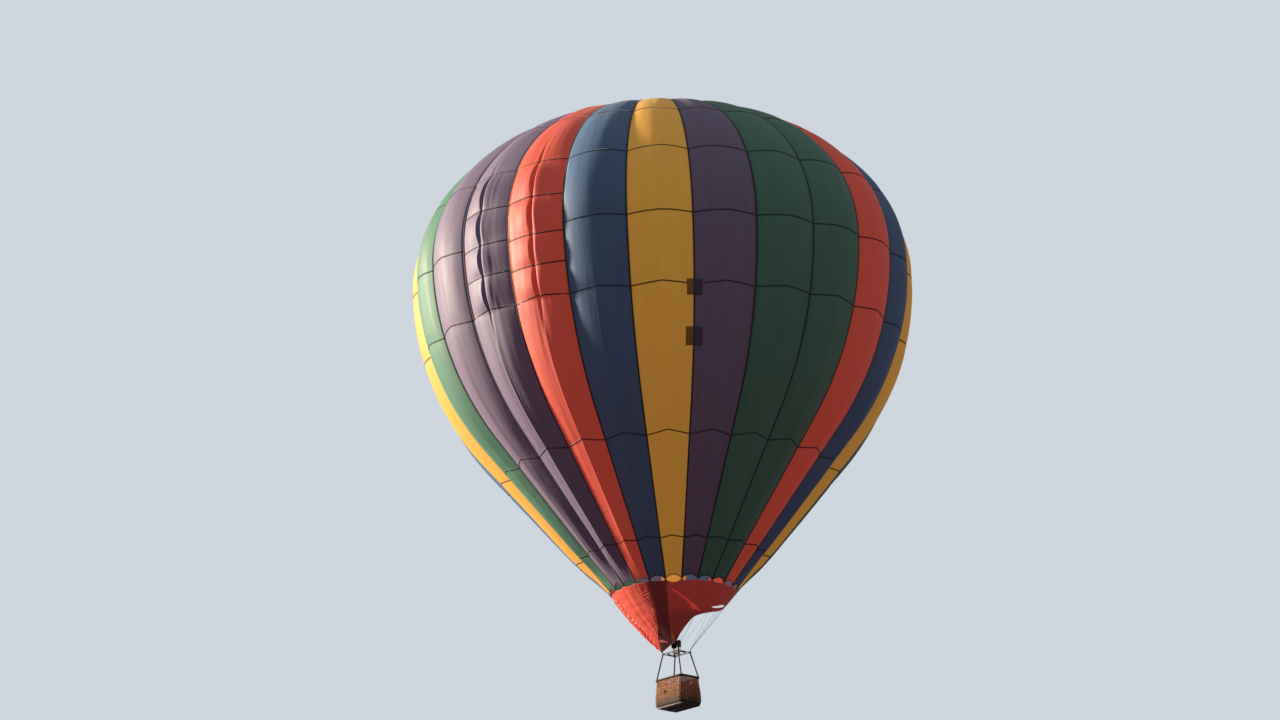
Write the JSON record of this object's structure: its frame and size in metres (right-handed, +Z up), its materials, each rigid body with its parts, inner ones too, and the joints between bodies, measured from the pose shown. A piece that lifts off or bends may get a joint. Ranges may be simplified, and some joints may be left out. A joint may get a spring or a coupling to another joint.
{
  "type": "hot air balloon",
  "caption": "Hot air balloon: a striped gore envelope with a parachute vent and scoop, hung by cables over a gimballed burner and a wicker basket.",
  "frame": {"origin": "centre of the envelope's widest circle, where the air lifts it", "axes": "+Z up, +X towards the front end of the basket along its long side, +Y to its left"},
  "size_m": [18.4858, 18.4858, 22.8811],
  "materials": {
    "fabric_yellow": "yellow coated ripstop nylon",
    "fabric_purple": "purple coated ripstop nylon",
    "fabric_green": "green coated ripstop nylon",
    "fabric_red": "red coated ripstop nylon",
    "fabric_blue": "blue coated ripstop nylon",
    "fabric_scoop": "red flame-resistant fabric",
    "webbing": "dark woven load tape",
    "steel": "stainless cable, fittings and burner coils",
    "dark_steel": "blued steel",
    "black_paint": "black painted tube",
    "wicker": "woven willow and cane",
    "leather": "dark brown leather over padding",
    "wood": "pale varnished wood",
    "tank": "grey painted metal"
  },
  "bodies": {
    "balloon": {"gore_01": "fabric_yellow", "gore_02": "fabric_purple", "gore_03": "fabric_green", "gore_04": "fabric_green", "gore_05": "fabric_red", "gore_06": "fabric_blue", "gore_07": "fabric_yellow", "gore_08": "fabric_green", "gore_09": "fabric_purple", "gore_10": "fabric_purple", "gore_11": "fabric_red", "gore_12": "fabric_blue", "gore_13": "fabric_yellow", "gore_14": "fabric_purple", "gore_15": "fabric_green", "gore_16": "fabric_green", "gore_17": "fabric_red", "gore_18": "fabric_blue", "gore_19": "fabric_yellow", "gore_20": "fabric_green", "gore_21": "fabric_purple", "gore_22": "fabric_purple", "gore_23": "fabric_red", "gore_24": "fabric_blue", "load_tapes": "webbing", "scoop": "fabric_scoop", "cables_front_left": "steel", "cables_rear_left": "steel", "cables_rear_right": "steel", "cables_front_right": "steel", "burner_frame": "black_paint", "upright_front_left": "leather", "upright_rear_left": "leather", "upright_rear_right": "leather", "upright_front_right": "leather", "wall_front": "wicker", "wall_left": "wicker", "wall_rear": "wicker", "wall_right": "wicker", "basket_rim": "leather", "basket_floor": "wood", "runner_left": "wood", "runner_middle": "wood", "runner_right": "wood", "tank_front": "tank", "tank_rear": "tank"},
    "parachute": {"parachute_panel": "fabric_red"},
    "gimbal": {"gimbal_ring": "dark_steel"},
    "burner": {"burner_block": "dark_steel", "burner_can_front": "steel", "burner_can_rear": "steel"}
  },
  "joints": [
    {"name": "vent_slide", "type": "slide", "parent": "balloon", "child": "parachute", "axis": [0, 0, -1], "range_m": [0, 1.2]},
    {"name": "gimbal_pitch", "type": "hinge", "parent": "balloon", "child": "gimbal", "pos_m": [0, 0, -14.12], "axis": [1, 0, 0], "range_deg": [-15, 15]},
    {"name": "burner_roll", "type": "hinge", "parent": "gimbal", "child": "burner", "pos_m": [0, 0, -14.12], "axis": [0, 1, 0], "range_deg": [-15, 15]}
  ]
}
